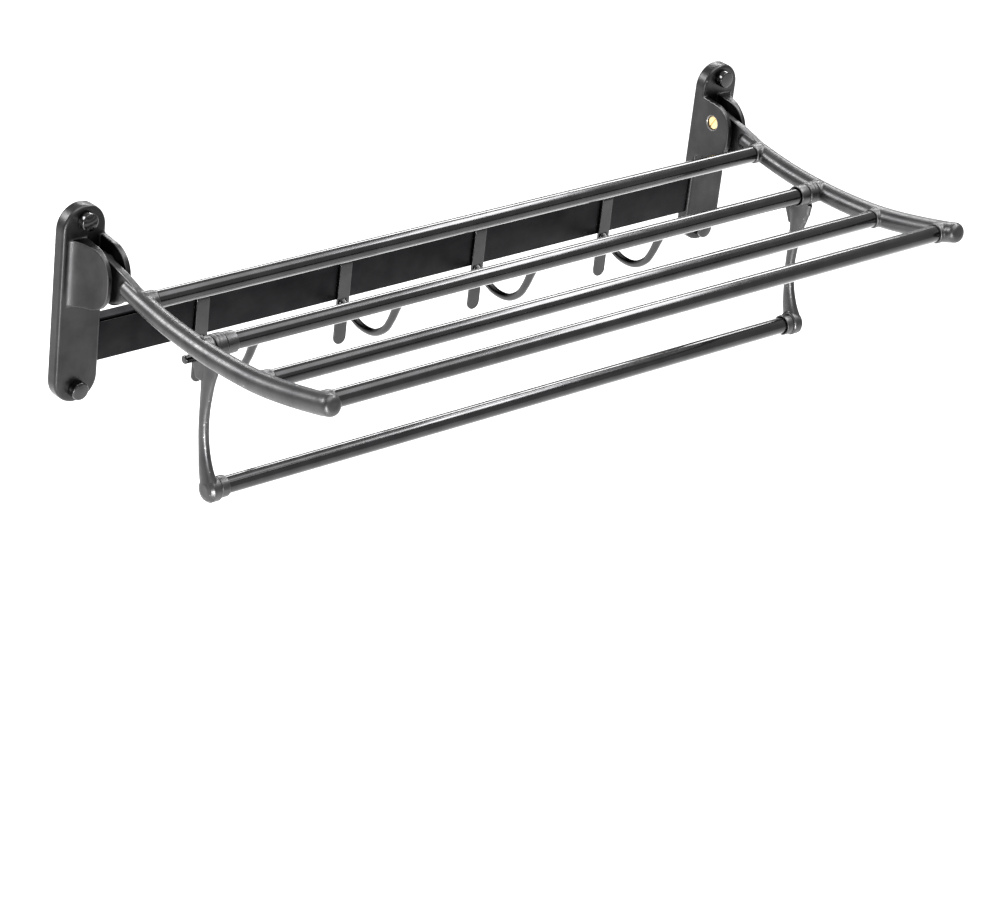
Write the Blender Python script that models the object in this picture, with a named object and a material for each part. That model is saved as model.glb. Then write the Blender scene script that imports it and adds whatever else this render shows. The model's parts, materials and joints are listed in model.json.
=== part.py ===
"""Wall mounted fold down drying rack: two wall brackets, a hook rail with four sliding hooks,
a shelf of four bars that folds up, and a towel bar that swings below the shelf.

Metres, +Z up. X runs along the wall, the wall is the plane Y = 0 and the rack stands out
towards -Y. Z = 0 is halfway up the bracket plates, and X = 0 is halfway between them.
"""
import math

import bmesh
import bpy
from mathutils import Matrix, Vector

# ---------------------------------------------------------------- driving dimensions
GAP = 0.0003                # clearance that touching pieces keep
OVERALL_WIDTH = 0.600       # outer side of one bracket plate to the other's

PLATE_WIDTH = 0.0333
PLATE_HEIGHT = 0.1396
PLATE_THICK = 0.0095
PLATE_RIM = 0.0022          # rounding of the plate's front edge
PLATE_ARC_STEPS = 12
PLATE_X = (OVERALL_WIDTH - PLATE_WIDTH) / 2
PLATE_IN = PLATE_X - PLATE_WIDTH / 2
MOUNT_Z = 0.0600            # mounting holes above and below the middle
MOUNT_HOLE_R = 0.0024
MOUNT_SEAT_R = 0.0047
MOUNT_SEAT_DEPTH = 0.0042
SCREW_CAP_R = 0.0062
SCREW_CAP_HEIGHT = 0.0060
EASE = 0.0008               # chamfer on a screw head, cap or pin

PIVOT = (-0.0218, 0.0317)   # (Y, Z) of the shelf's fold axis
PIVOT_R = 0.0030
PIVOT_HEAD_R = 0.0048
PIVOT_HEAD_THICK = 0.0016
PIVOT_RECESS = 0.0012       # the head's face lies this far inside the bracket
PIVOT_SLOT = (0.0016, 0.0014, 0.0200)
PIVOT_SLOT_ANGLE = math.radians(32)
ARM_X = 0.2764              # middle plane of an arm
SLOT_HALF = 0.0054          # half the width of the slot between a bracket's ears
EAR_TOP = 0.0478
EAR_FRONT = -0.0392
EAR_LOW = 0.0010
EAR_CORNER = 0.0185         # radius of the ears' front corners
EAR_THICK = 0.0034          # outer ear at its front edge
BLIND_DEPTH = 0.0022        # how far the pivot's hole goes into the outer ear
TANG_HALF = 0.0026          # half the thickness of an arm's flat root
WASHER_R = 0.0068
WASHER_THICK = SLOT_HALF - TANG_HALF - 2 * GAP

BAR_R = 0.0060
BAR_WALL = 0.0010
BARS = [(-0.0651, 0.0233), (-0.1275, 0.0174), (-0.1867, 0.0201), (-0.2453, 0.0320)]
ARM_END = (-0.2528, 0.0342)  # middle of the arm's rounded end
ARM_END_POWER = 3.2         # how blunt the arm's end is
ARM_ROOT = (-0.0500, 0.0262)
ARM_R_ROOT = 0.0064
ARM_R_TIP = 0.0074
BOSS_FACES = [0.2668, 0.2690, 0.2668, 0.2668]   # |X| where each bar meets the raised ring on an arm
BOSS_R = [0.0070, 0.0076, 0.0070, 0.0072]
SPIGOT_R = BAR_R - BAR_WALL - GAP
SPIGOT_LENGTH = 0.0130
COLLAR_R = 0.0074
COLLAR_LENGTH = 0.0081
GRUB_SCREW_R = 0.0010

HANGER_X = 0.2639           # middle plane of a hanger
BLADE_HALF = 0.0033         # half a hanger's thickness
HUB_IN = 0.2597
HUB_OUT = BOSS_FACES[1] - GAP
HUB_R = 0.0079
GROOVE = 0.0006
LOWER_BAR = (-0.1316, -0.0829)
LOWER_BOSS_R = 0.0086
LOWER_BOSS_IN = 0.2587
LOWER_BOSS_OUT = 0.2685
SOCKET_END = 0.2649
FERRULE_LENGTH = 0.0060
STOP_PIN = (-0.1104, 0.0024)
STOP_PIN_R = 0.0029
STOP_PIN_STEM_R = 0.0016
STOP_PIN_TIP = 0.2757

RAIL_END = PLATE_IN - GAP
RAIL_FRONT = -0.0070
RAIL_TOP = -0.0123
RAIL_BOTTOM = -0.0448
RAIL_WALL = 0.0018
RAIL_SCREW = (PLATE_IN - 0.0055, -0.0028)   # (|X|, Y) of the screws between brackets and rail
RAIL_SCREW_R = 0.0015
HOOK_XS = [-0.183, -0.061, 0.061, 0.183]
HOOK_WIDTH = 0.0104
HOOK_BOTTOM = -0.0790
HOOK_PRONG_R = 0.0028
STRIP_THICK = 0.0018

TENON_LOW = -0.0422         # block on each bracket that fills the rail's end
TENON_TOP = -0.0222
TENON_LENGTH = 0.0100
THREAD_END = -0.0360

PAST = 0.0040               # how far a cutting solid runs past what it cuts
SEGMENTS = 18               # sides of a bar, ring or bore
SMALL = 12                  # sides of a screw or pin
SIDES = ((-1, "left"), (1, "right"))


# ---------------------------------------------------------------- scene and helpers
def clear_scene():
    for obj in list(bpy.data.objects):
        bpy.data.objects.remove(obj, do_unlink=True)


def material(name, colour, roughness, metallic=1.0):
    mat = bpy.data.materials.new(name)
    mat.use_nodes = True
    shader = mat.node_tree.nodes["Principled BSDF"]
    shader.inputs["Base Color"].default_value = (*colour, 1.0)
    shader.inputs["Roughness"].default_value = roughness
    shader.inputs["Metallic"].default_value = metallic
    mat.diffuse_color = (*colour, 1.0)
    return mat


def add_object(name, bm, mat=None, pivot=(0.0, 0.0, 0.0), smooth=35):
    """Turn a bmesh in world coordinates into an object whose origin is at pivot."""
    bmesh.ops.translate(bm, verts=bm.verts, vec=-Vector(pivot))
    bmesh.ops.recalc_face_normals(bm, faces=bm.faces)
    mesh = bpy.data.meshes.new(name)
    bm.to_mesh(mesh)
    bm.free()
    obj = bpy.data.objects.new(name, mesh)
    obj.location = pivot
    bpy.context.collection.objects.link(obj)
    if mat:
        mesh.materials.append(mat)
    mesh.shade_smooth()
    mesh.set_sharp_from_angle(angle=math.radians(smooth))
    return obj


def boolean(obj, tool, operation):
    """Cut or join a helper solid; the helper itself is hidden."""
    mod = obj.modifiers.new(operation.lower(), "BOOLEAN")
    mod.operation = operation
    mod.solver = "EXACT"
    mod.object = tool
    tool.hide_render = True
    tool.display_type = "WIRE"


def cut(obj, *tools):
    for tool in tools:
        boolean(obj, tool, "DIFFERENCE")


def join(obj, *tools):
    for tool in tools:
        boolean(obj, tool, "UNION")


def prism(outline, axis, low, high):
    """Extrude a closed outline along X, Y or Z from low to high.

    The outline's points are (Y, Z) for axis X, (X, Z) for axis Y and (X, Y) for axis Z.
    """
    place = {
        "X": lambda a, b, c: (c, a, b),
        "Y": lambda a, b, c: (a, c, b),
        "Z": lambda a, b, c: (a, b, c),
    }[axis]
    bm = bmesh.new()
    first = [bm.verts.new(place(a, b, low)) for a, b in outline]
    last = [bm.verts.new(place(a, b, high)) for a, b in outline]
    count = len(outline)
    bm.faces.new(first)
    bm.faces.new(list(reversed(last)))
    for i in range(count):
        j = (i + 1) % count
        bm.faces.new((first[i], first[j], last[j], last[i]))
    return bm


def arc(centre, radius, start, end, steps):
    """Points on an arc, angles in degrees from the first axis of the outline."""
    angles = [math.radians(start + (end - start) * i / steps) for i in range(steps + 1)]
    return [(centre[0] + radius * math.cos(a), centre[1] + radius * math.sin(a)) for a in angles]


def turned(profile, origin, axis, sides=SEGMENTS):
    """Turn a closed profile of (distance along axis, radius) points around an axis.

    A point of radius 0 is a pole, which closes a solid end.
    """
    axis = Vector(axis).normalized()
    side = axis.orthogonal().normalized()
    other = axis.cross(side)
    bm = bmesh.new()
    rings = []
    for along, radius in profile:
        centre = Vector(origin) + axis * along
        if radius == 0:
            rings.append([bm.verts.new(centre)] * sides)
            continue
        ring = []
        for i in range(sides):
            angle = 2 * math.pi * i / sides
            ring.append(bm.verts.new(centre + radius * (math.cos(angle) * side + math.sin(angle) * other)))
        rings.append(ring)
    closed = profile[0][1] > 0 and profile[-1][1] > 0
    pairs = list(zip(rings, rings[1:]))
    if closed:
        pairs.append((rings[-1], rings[0]))
    for first, second in pairs:
        for i in range(sides):
            j = (i + 1) % sides
            corners = []
            for vert in (first[i], first[j], second[j], second[i]):
                if vert not in corners:
                    corners.append(vert)
            bm.faces.new(corners)
    return bm


def rod(radius, start, end, axis_place, sides=SEGMENTS):
    """A solid rod along X from start to end at axis_place (Y, Z)."""
    profile = [(start, 0.0), (start, radius), (end, radius), (end, 0.0)]
    return turned(profile, (0.0, *axis_place), (1.0, 0.0, 0.0), sides)


def ring_profile(inner, outer, start, end, rounding=0.0004):
    """The section of a ring with its outer edges eased."""
    return [
        (start, inner),
        (start, outer - rounding),
        (start + rounding, outer),
        (end - rounding, outer),
        (end, outer - rounding),
        (end, inner),
    ]


def smooth_path(points, steps):
    """A Catmull-Rom curve through the points, steps pieces between each pair."""
    vectors = [Vector(p) for p in points]
    first = vectors[0] * 2 - vectors[1]
    last = vectors[-1] * 2 - vectors[-2]
    vectors = [first] + vectors + [last]
    curve = []
    for k in range(1, len(vectors) - 2):
        a, b, c, d = vectors[k - 1:k + 3]
        for i in range(steps):
            t = i / steps
            curve.append(0.5 * (2 * b + (c - a) * t + (2 * a - 5 * b + 4 * c - d) * t ** 2
                                + (3 * b - a - 3 * c + d) * t ** 3))
    curve.append(vectors[-2])
    return curve


def dome_rings(ring, towards, power):
    """Shrinking rings that close one end of a sweep: towards is -1 at its start, 1 at its end.

    A power of 2 makes a round dome, and a larger one a blunter end.
    """
    point, ahead, size = ring
    steps = 3
    rings = []
    for k in range(steps):
        angle = math.pi / 2 * k / steps
        reach = size[1] * math.cos(angle) ** (2 / power)
        factor = math.sin(angle) ** (2 / power)
        rings.append((point + ahead * reach * towards, ahead, (size[0] * factor, size[1] * factor)))
    return rings if towards < 0 else rings[::-1]


def swept(path, sizes, sides, round_start, round_end, end_power=2.0):
    """Sweep an ellipse along a path in a YZ plane, with rounded or flat ends.

    path holds 3-D points, sizes the half widths (across X, in the YZ plane) at each.
    """
    rings = []
    count = len(path)
    for i, point in enumerate(path):
        ahead = path[min(i + 1, count - 1)] - path[max(i - 1, 0)]
        rings.append((point, ahead.normalized(), sizes[i]))
    if round_start:
        rings = dome_rings(rings[0], -1, 2.0) + rings
    if round_end:
        rings = rings + dome_rings(rings[-1], 1, end_power)
    bm = bmesh.new()
    made = []
    for point, ahead, size in rings:
        if size[0] == 0:
            made.append([bm.verts.new(point)] * sides)
            continue
        across = Vector((1.0, 0.0, 0.0))
        up = ahead.cross(across).normalized()
        ring = []
        for i in range(sides):
            angle = 2 * math.pi * (i + 0.5) / sides
            ring.append(bm.verts.new(point + across * size[0] * math.cos(angle)
                                     + up * size[1] * math.sin(angle)))
        made.append(ring)
    if not round_start:
        bm.faces.new(made[0])
    if not round_end:
        bm.faces.new(list(reversed(made[-1])))
    for first, second in zip(made, made[1:]):
        for i in range(sides):
            j = (i + 1) % sides
            corners = []
            for vert in (first[i], first[j], second[j], second[i]):
                if vert not in corners:
                    corners.append(vert)
            bm.faces.new(corners)
    return bm


# ---------------------------------------------------------------- materials
def make_materials():
    return {
        "black": material("brushed_black_metal", (0.055, 0.055, 0.057), 0.38),
        "gloss": material("polished_black_metal", (0.035, 0.035, 0.037), 0.22),
        "dark": material("black_anodised_rail", (0.020, 0.020, 0.021), 0.45),
        "brass": material("brass", (0.78, 0.58, 0.28), 0.30),
        "steel": material("plain_steel", (0.45, 0.45, 0.46), 0.35),
        "nylon": material("black_nylon", (0.02, 0.02, 0.02), 0.60, 0.0),
    }


# ---------------------------------------------------------------- wall brackets
def plate_outline(grow=0.0):
    """The plate's long shape with half round ends, as (X, Z) about its own middle."""
    radius = PLATE_WIDTH / 2 + grow
    straight = (PLATE_HEIGHT - PLATE_WIDTH) / 2
    top = arc((0.0, straight), radius, 0, 180, PLATE_ARC_STEPS)
    bottom = arc((0.0, -straight), radius, 180, 360, PLATE_ARC_STEPS)
    return top + bottom


def bracket_plate(side):
    """A plate with a rounded front rim, built as shrinking copies of its outline."""
    bm = bmesh.new()
    steps = 3
    layers = [(0.0, 0.0), (PLATE_THICK - PLATE_RIM, 0.0)]
    for i in range(1, steps + 1):
        angle = math.pi / 2 * i / steps
        layers.append((PLATE_THICK - PLATE_RIM + PLATE_RIM * math.sin(angle),
                       PLATE_RIM * (math.cos(angle) - 1.0)))
    rings = []
    for depth, grow in layers:
        rings.append([bm.verts.new((side * PLATE_X + x, -depth, z)) for x, z in plate_outline(grow)])
    count = len(rings[0])
    bm.faces.new(rings[0])
    bm.faces.new(list(reversed(rings[-1])))
    for first, second in zip(rings, rings[1:]):
        for i in range(count):
            j = (i + 1) % count
            bm.faces.new((first[i], first[j], second[j], second[i]))
    return bm


def ear_side_outline():
    """The ears seen from the side, (Y, Z): a tab with two round front corners."""
    back = -PLATE_THICK / 2
    droop = 0.0012
    rise = 0.0020
    steps = 7
    top_centre = (EAR_FRONT + EAR_CORNER, EAR_TOP - droop - EAR_CORNER)
    low_centre = (EAR_FRONT + EAR_CORNER, EAR_LOW + rise + EAR_CORNER)
    outline = [(back, EAR_LOW), (back, EAR_TOP), (-PLATE_THICK, EAR_TOP)]
    outline += arc(top_centre, EAR_CORNER, 90, 180, steps)
    outline += arc(low_centre, EAR_CORNER, 180, 270, steps)
    return outline


def ear_plan_outline(side):
    """The ears seen from above, (X, Y): flush inside, sweeping out to the plate outside."""
    front = EAR_FRONT - PAST
    back = -PLATE_THICK / 2
    tip_x = ARM_X + SLOT_HALF + EAR_THICK
    root_x = PLATE_X + PLATE_WIDTH / 2 - PLATE_RIM * 0.6
    tip_y = EAR_FRONT + 0.0010
    root_y = -PLATE_THICK + 0.0008
    steps = 10
    sweep = []
    for i in range(steps + 1):
        angle = math.pi / 2 * i / steps
        x = root_x - (root_x - tip_x) * math.sin(angle)
        sweep.append((side * x, tip_y + (root_y - tip_y) * math.cos(angle)))
    return [(side * PLATE_IN, front), (side * PLATE_IN, back), (side * root_x, back)] + sweep + [
        (side * tip_x, front)]


def span(side, near, far):
    """A stretch along X given by its distances from the middle, in rising order."""
    return sorted((side * near, side * far))


def rectangle(low, high):
    return [(low[0], low[1]), (high[0], low[1]), (high[0], high[1]), (low[0], high[1])]


def mount_hole_profile():
    seat_floor = PLATE_THICK - MOUNT_SEAT_DEPTH
    return [(-PAST, 0.0), (-PAST, MOUNT_HOLE_R), (seat_floor, MOUNT_HOLE_R), (seat_floor, MOUNT_SEAT_R),
            (PLATE_THICK + PAST, MOUNT_SEAT_R), (PLATE_THICK + PAST, 0.0)]


def pivot_bore_profile():
    head_seat = PLATE_IN + PIVOT_RECESS + PIVOT_HEAD_THICK + GAP
    blind_end = ARM_X + SLOT_HALF + BLIND_DEPTH
    return [(PLATE_IN - PAST, 0.0), (PLATE_IN - PAST, PIVOT_HEAD_R + GAP), (head_seat, PIVOT_HEAD_R + GAP),
            (head_seat, PIVOT_R + GAP), (blind_end, PIVOT_R + GAP), (blind_end, 0.0)]


def make_bracket(name, side, mat):
    bracket = add_object(name, bracket_plate(side), mat)
    ears = add_object(name + "_ears", prism(ear_side_outline(), "X", *span(side, PLATE_IN - PAST,
                                                                          OVERALL_WIDTH / 2 + PAST)))
    plan = add_object(name + "_plan", prism(ear_plan_outline(side), "Z", EAR_LOW - PAST, EAR_TOP + PAST))
    boolean(ears, plan, "INTERSECT")
    slot_outline = rectangle((EAR_FRONT - PAST, EAR_LOW - PAST), (-PLATE_THICK, EAR_TOP + PAST))
    slot = add_object(name + "_slot", prism(slot_outline, "X", *span(side, ARM_X - SLOT_HALF,
                                                                     ARM_X + SLOT_HALF)))
    tenon_outline = rectangle((RAIL_FRONT + RAIL_WALL + GAP, TENON_LOW), (-0.0009, TENON_TOP))
    tenon = add_object(name + "_tenon", prism(tenon_outline, "X", *span(side, PLATE_IN + PAST,
                                                                        PLATE_IN - TENON_LENGTH)))
    join(bracket, ears, tenon)
    cut(bracket, slot)
    for z in (-MOUNT_Z, MOUNT_Z):
        cut(bracket, add_object(name + "_hole", turned(mount_hole_profile(), (side * PLATE_X, 0.0, z),
                                                       (0.0, -1.0, 0.0))))
    cut(bracket, add_object(name + "_bore", turned(pivot_bore_profile(), (0.0, *PIVOT), (side, 0.0, 0.0))))
    thread_r = RAIL_SCREW_R + GAP
    thread = [(TENON_LOW - PAST, 0.0), (TENON_LOW - PAST, thread_r), (THREAD_END, thread_r),
              (THREAD_END, 0.0)]
    place = (side * RAIL_SCREW[0], RAIL_SCREW[1], 0.0)
    cut(bracket, add_object(name + "_thread", turned(thread, place, (0.0, 0.0, 1.0), SMALL)))


def make_mount_screws(mat_steel, mat_cap):
    """Screws through the plates, cut off at the wall's face, and the round caps over them."""
    head_back = PLATE_THICK - MOUNT_SEAT_DEPTH + GAP
    head_front = PLATE_THICK - GAP
    shank_r = MOUNT_HOLE_R - GAP
    head_r = MOUNT_SEAT_R - GAP
    screw = [(0.0, 0.0), (0.0, shank_r), (head_back, shank_r), (head_back, head_r),
             (head_front - EASE, head_r), (head_front, head_r - EASE), (head_front, 0.0)]
    start = PLATE_THICK + GAP
    end = start + SCREW_CAP_HEIGHT
    cap = [(start, 0.0), (start, SCREW_CAP_R), (end - EASE, SCREW_CAP_R), (end, SCREW_CAP_R - EASE),
           (end, 0.0)]
    for side, word in SIDES:
        for z, level in ((MOUNT_Z, "upper"), (-MOUNT_Z, "lower")):
            place = (side * PLATE_X, 0.0, z)
            add_object(f"mount_screw_{word}_{level}", turned(screw, place, (0.0, -1.0, 0.0), SMALL),
                       mat_steel)
            add_object(f"screw_cap_{word}_{level}", turned(cap, place, (0.0, -1.0, 0.0)), mat_cap)


def make_pivots(mat_brass, mat_nylon):
    """A slotted brass pivot screw in each bracket, and a spacing washer on each side of the tang."""
    head = PLATE_IN + PIVOT_RECESS
    neck = head + PIVOT_HEAD_THICK
    tip = ARM_X + SLOT_HALF + BLIND_DEPTH - GAP
    profile = [(head, 0.0), (head, PIVOT_HEAD_R - GAP), (head + GAP, PIVOT_HEAD_R), (neck, PIVOT_HEAD_R),
               (neck, PIVOT_R), (tip, PIVOT_R), (tip, 0.0)]
    slot_turn = Matrix.Rotation(PIVOT_SLOT_ANGLE, 3, "X")
    for side, word in SIDES:
        pivot = (side * ARM_X, *PIVOT)
        screw = add_object(f"pivot_screw_{word}", turned(profile, (0.0, *PIVOT), (side, 0.0, 0.0)),
                           mat_brass, pivot)
        slot = bmesh.new()
        bmesh.ops.create_cube(slot, size=1.0, matrix=Matrix.Diagonal((*PIVOT_SLOT, 1.0)))
        bmesh.ops.rotate(slot, verts=slot.verts, matrix=slot_turn)
        bmesh.ops.translate(slot, verts=slot.verts, vec=(side * head, *PIVOT))
        cut(screw, add_object(f"pivot_slot_{word}", slot))
        for sign, where in ((-1, "inner"), (1, "outer")):
            face = ARM_X + sign * (TANG_HALF + GAP)
            low, high = sorted((face, face + sign * WASHER_THICK))
            ring = [(low, PIVOT_R + GAP), (low, WASHER_R), (high, WASHER_R), (high, PIVOT_R + GAP)]
            add_object(f"pivot_washer_{word}_{where}",
                       turned(ring, (0.0, *PIVOT), (side, 0.0, 0.0), SMALL), mat_nylon, pivot)


# ---------------------------------------------------------------- folding shelf
def arm_path(steps):
    """The arm's middle line from its root to its end, as (Y, Z): it passes every bar's axis."""
    between_1_2 = (-0.0950, 0.0192)
    between_2_3 = (-0.1570, 0.0178)
    between_3_4 = (-0.2160, 0.0252)
    points = [ARM_ROOT, BARS[0], between_1_2, BARS[1], between_2_3, BARS[2], between_3_4, BARS[3], ARM_END]
    return smooth_path([(0.0, y, z) for y, z in points], steps)


def tang_outline():
    """The flat root of an arm seen from the side, (Y, Z), with the heel that rests on the plate."""
    y, z = PIVOT
    heel_back = -PLATE_THICK - GAP
    head = 0.0086
    outline = [(heel_back, 0.0125), (heel_back, z + 0.0008)]
    outline += arc((y + 0.0026, z), head, 10, 90, 5)
    outline += [(-0.0300, 0.0384), (-0.0450, 0.0356), (-0.0550, 0.0328), (-0.0640, 0.0298), (-0.0700, 0.0240)]
    outline += [(-0.0560, 0.0205), (-0.0480, 0.0170), (-0.0400, 0.0125), (-0.0320, 0.0098)]
    outline += [(heel_back - 0.0026, 0.0098)]
    return outline


def boss_profile(index):
    """A bar's seat on an arm: a short raised ring, and the spigot that the bar slides over."""
    face = BOSS_FACES[index]
    tip = face - SPIGOT_LENGTH
    end = ARM_X - 0.0010
    radius = BOSS_R[index]
    return [(tip, 0.0), (tip, SPIGOT_R), (face, SPIGOT_R), (face, radius - EASE / 2),
            (face + EASE / 2, radius), (end, radius), (end, 0.0)]


def make_arm(name, side, mat):
    path = [Vector((side * ARM_X, p.y, p.z)) for p in arm_path(2)]
    last = len(path) - 1
    sizes = []
    for i in range(len(path)):
        radius = ARM_R_ROOT + (ARM_R_TIP - ARM_R_ROOT) * min(1.0, 1.6 * i / last)
        sizes.append((radius, radius))
    arm = add_object(name, swept(path, sizes, 16, True, True, ARM_END_POWER), mat,
                     pivot=(side * ARM_X, *PIVOT))
    join(arm, add_object(name + "_tang", prism(tang_outline(), "X", side * ARM_X - TANG_HALF,
                                               side * ARM_X + TANG_HALF)))
    for index, place in enumerate(BARS):
        join(arm, add_object(name + "_boss", turned(boss_profile(index), (0.0, *place),
                                                    (side, 0.0, 0.0), 16)))
    cut(arm, add_object(name + "_bore", rod(PIVOT_R + GAP, *span(side, ARM_X - SLOT_HALF,
                                                                 ARM_X + SLOT_HALF), PIVOT)))


def make_tube(name, place, half_length, mat, pivot):
    profile = [(-half_length, BAR_R - BAR_WALL), (-half_length, BAR_R),
               (half_length, BAR_R), (half_length, BAR_R - BAR_WALL)]
    add_object(name, turned(profile, (0.0, *place), (1.0, 0.0, 0.0)), mat, pivot=pivot)


def make_shelf_bars(mat):
    for index, place in enumerate(BARS):
        make_tube(f"shelf_bar_{index + 1}", place, BOSS_FACES[index] - GAP, mat, (0.0, *PIVOT))


def make_collars(mat, mat_steel):
    """Rings on the second bar that keep the hangers against the arms, each with its grub screw."""
    place = BARS[1]
    end = HUB_IN - GAP
    ring = ring_profile(BAR_R + GAP, COLLAR_R, end - COLLAR_LENGTH, end)
    hole = [(BAR_R, 0.0), (BAR_R, GRUB_SCREW_R + GAP), (COLLAR_R + PAST, GRUB_SCREW_R + GAP),
            (COLLAR_R + PAST, 0.0)]
    screw = [(BAR_R + GAP, 0.0), (BAR_R + GAP, GRUB_SCREW_R), (COLLAR_R - GAP, GRUB_SCREW_R),
             (COLLAR_R - GAP, 0.0)]
    for side, word in SIDES:
        collar = add_object(f"bar_collar_{word}", turned(ring, (0.0, *place), (side, 0.0, 0.0)), mat,
                            pivot=(0.0, *PIVOT))
        foot = (side * (end - COLLAR_LENGTH / 2), *place)
        cut(collar, add_object("collar_hole", turned(hole, foot, (0.0, 0.0, -1.0), SMALL)))
        add_object(f"collar_screw_{word}", turned(screw, foot, (0.0, 0.0, -1.0), SMALL), mat_steel,
                   pivot=(0.0, *PIVOT))


# ---------------------------------------------------------------- swinging towel bar
def blade_rings(steps):
    """The hanger's middle line as (Y, Z) vectors, and its half width at each."""
    stations = [(-0.1255, 0.0120, 0.0082), (-0.1222, 0.0040, 0.0104), (-0.1220, -0.0035, 0.0084),
                (-0.1216, -0.0125, 0.0061), (-0.1207, -0.0300, 0.0042), (-0.1211, -0.0450, 0.0039),
                (-0.1233, -0.0590, 0.0041), (-0.1265, -0.0710, 0.0055), (-0.1310, -0.0810, 0.0070)]
    path = smooth_path([(0.0, y, z) for y, z, width in stations], steps)
    widths = []
    for i in range(len(path)):
        k = min(i // steps, len(stations) - 2)
        t = (i - k * steps) / steps
        widths.append(stations[k][2] * (1 - t) + stations[k + 1][2] * t)
    return path, widths


def hub_profile():
    """The hanger's eye round the second bar, with two turned grooves."""
    first = HUB_IN + 0.0030
    second = HUB_IN + 0.0058
    floor = HUB_R - GROOVE / 2
    return [(HUB_IN, 0.0), (HUB_IN, HUB_R - GROOVE), (HUB_IN + GROOVE, HUB_R),
            (first, HUB_R), (first + GROOVE / 2, floor), (first + GROOVE, HUB_R),
            (second, HUB_R), (second + GROOVE / 2, floor), (second + GROOVE, HUB_R),
            (HUB_OUT - GROOVE, HUB_R), (HUB_OUT, HUB_R - GROOVE), (HUB_OUT, 0.0)]


def lower_boss_profile():
    return [(LOWER_BOSS_IN, 0.0), (LOWER_BOSS_IN, LOWER_BOSS_R - 0.0010),
            (LOWER_BOSS_IN + 0.0010, LOWER_BOSS_R),
            (LOWER_BOSS_OUT - 0.0030, LOWER_BOSS_R), (LOWER_BOSS_OUT - 0.0008, LOWER_BOSS_R - 0.0018),
            (LOWER_BOSS_OUT, LOWER_BOSS_R - 0.0045), (LOWER_BOSS_OUT, 0.0)]


def make_hanger(name, side, mat):
    axis = BARS[1]
    middle = side * HANGER_X
    path, widths = blade_rings(2)
    blade_path = [Vector((middle, p.y, p.z)) for p in path]
    sizes = [(BLADE_HALF, width) for width in widths]
    hanger = add_object(name, swept(blade_path, sizes, 14, False, False), mat, pivot=(middle, *axis))
    hub = add_object(name + "_hub", turned(hub_profile(), (0.0, *axis), (side, 0.0, 0.0)))
    boss = add_object(name + "_boss", turned(lower_boss_profile(), (0.0, *LOWER_BAR), (side, 0.0, 0.0)))
    lug_outline = arc(STOP_PIN, 0.0038, -25, 120, 6) + [(-0.1200, 0.0060), (-0.1195, -0.0108),
                                                       (-0.1127, -0.0108)]
    lug = add_object(name + "_lug", prism(lug_outline, "X", *span(side, HANGER_X, HANGER_X + BLADE_HALF)))
    join(hanger, lug, hub, boss)
    cut(hanger, add_object(name + "_pin_hole", rod(STOP_PIN_STEM_R + GAP, *span(
        side, HANGER_X + GAP, HANGER_X + BLADE_HALF + PAST), STOP_PIN, SMALL)))
    cut(hanger, add_object(name + "_bore", rod(BAR_R + GAP, *span(side, HUB_IN - PAST, HUB_OUT + PAST),
                                               axis)))
    cut(hanger, add_object(name + "_socket", rod(BAR_R + GAP, *span(side, LOWER_BOSS_IN - PAST, SOCKET_END),
                                                 LOWER_BAR)))


def make_stop_pin(name, side, mat):
    """A stepped pin in the hanger's lug, reaching out below the arm."""
    foot = HANGER_X + 2 * GAP
    shoulder = HANGER_X + BLADE_HALF + GAP
    profile = [(foot, 0.0), (foot, STOP_PIN_STEM_R), (shoulder, STOP_PIN_STEM_R), (shoulder, STOP_PIN_R),
               (STOP_PIN_TIP - EASE, STOP_PIN_R), (STOP_PIN_TIP, STOP_PIN_R - EASE), (STOP_PIN_TIP, 0.0)]
    add_object(name, turned(profile, (0.0, *STOP_PIN), (side, 0.0, 0.0), 14), mat,
               pivot=(side * HANGER_X, *BARS[1]))


def make_lower_bar(mat, mat_ring):
    """The towel bar, and the ring over each of its ends."""
    make_tube("towel_bar", LOWER_BAR, SOCKET_END - GAP, mat, (0.0, *BARS[1]))
    end = LOWER_BOSS_IN - GAP
    ring = ring_profile(BAR_R + GAP, COLLAR_R, end - FERRULE_LENGTH, end)
    for side, word in SIDES:
        add_object(f"towel_bar_ferrule_{word}", turned(ring, (0.0, *LOWER_BAR), (side, 0.0, 0.0)),
                   mat_ring, pivot=(0.0, *BARS[1]))


# ---------------------------------------------------------------- hook rail and hooks
def rail_outline():
    """The rail's section, (Y, Z): a sloping top, a groove behind a front lip, open to the wall."""
    back = -0.0006
    slope_foot = (-0.0049, -0.0158)
    groove_floor = -0.0195
    lip_back = -0.0062
    lip_top = -0.0172
    inside = -0.0031
    front = RAIL_FRONT
    ease = 0.0010
    return [
        (back, RAIL_TOP), slope_foot, (slope_foot[0], groove_floor), (lip_back, groove_floor),
        (lip_back, lip_top), (front, lip_top), (front, RAIL_BOTTOM + ease), (front + ease, RAIL_BOTTOM),
        (back, RAIL_BOTTOM), (back, RAIL_BOTTOM + RAIL_WALL), (front + RAIL_WALL, RAIL_BOTTOM + RAIL_WALL),
        (front + RAIL_WALL, groove_floor - RAIL_WALL), (inside, groove_floor - RAIL_WALL),
        (inside, slope_foot[1] - ease / 2), (back, RAIL_TOP - RAIL_WALL),
    ]


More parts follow.
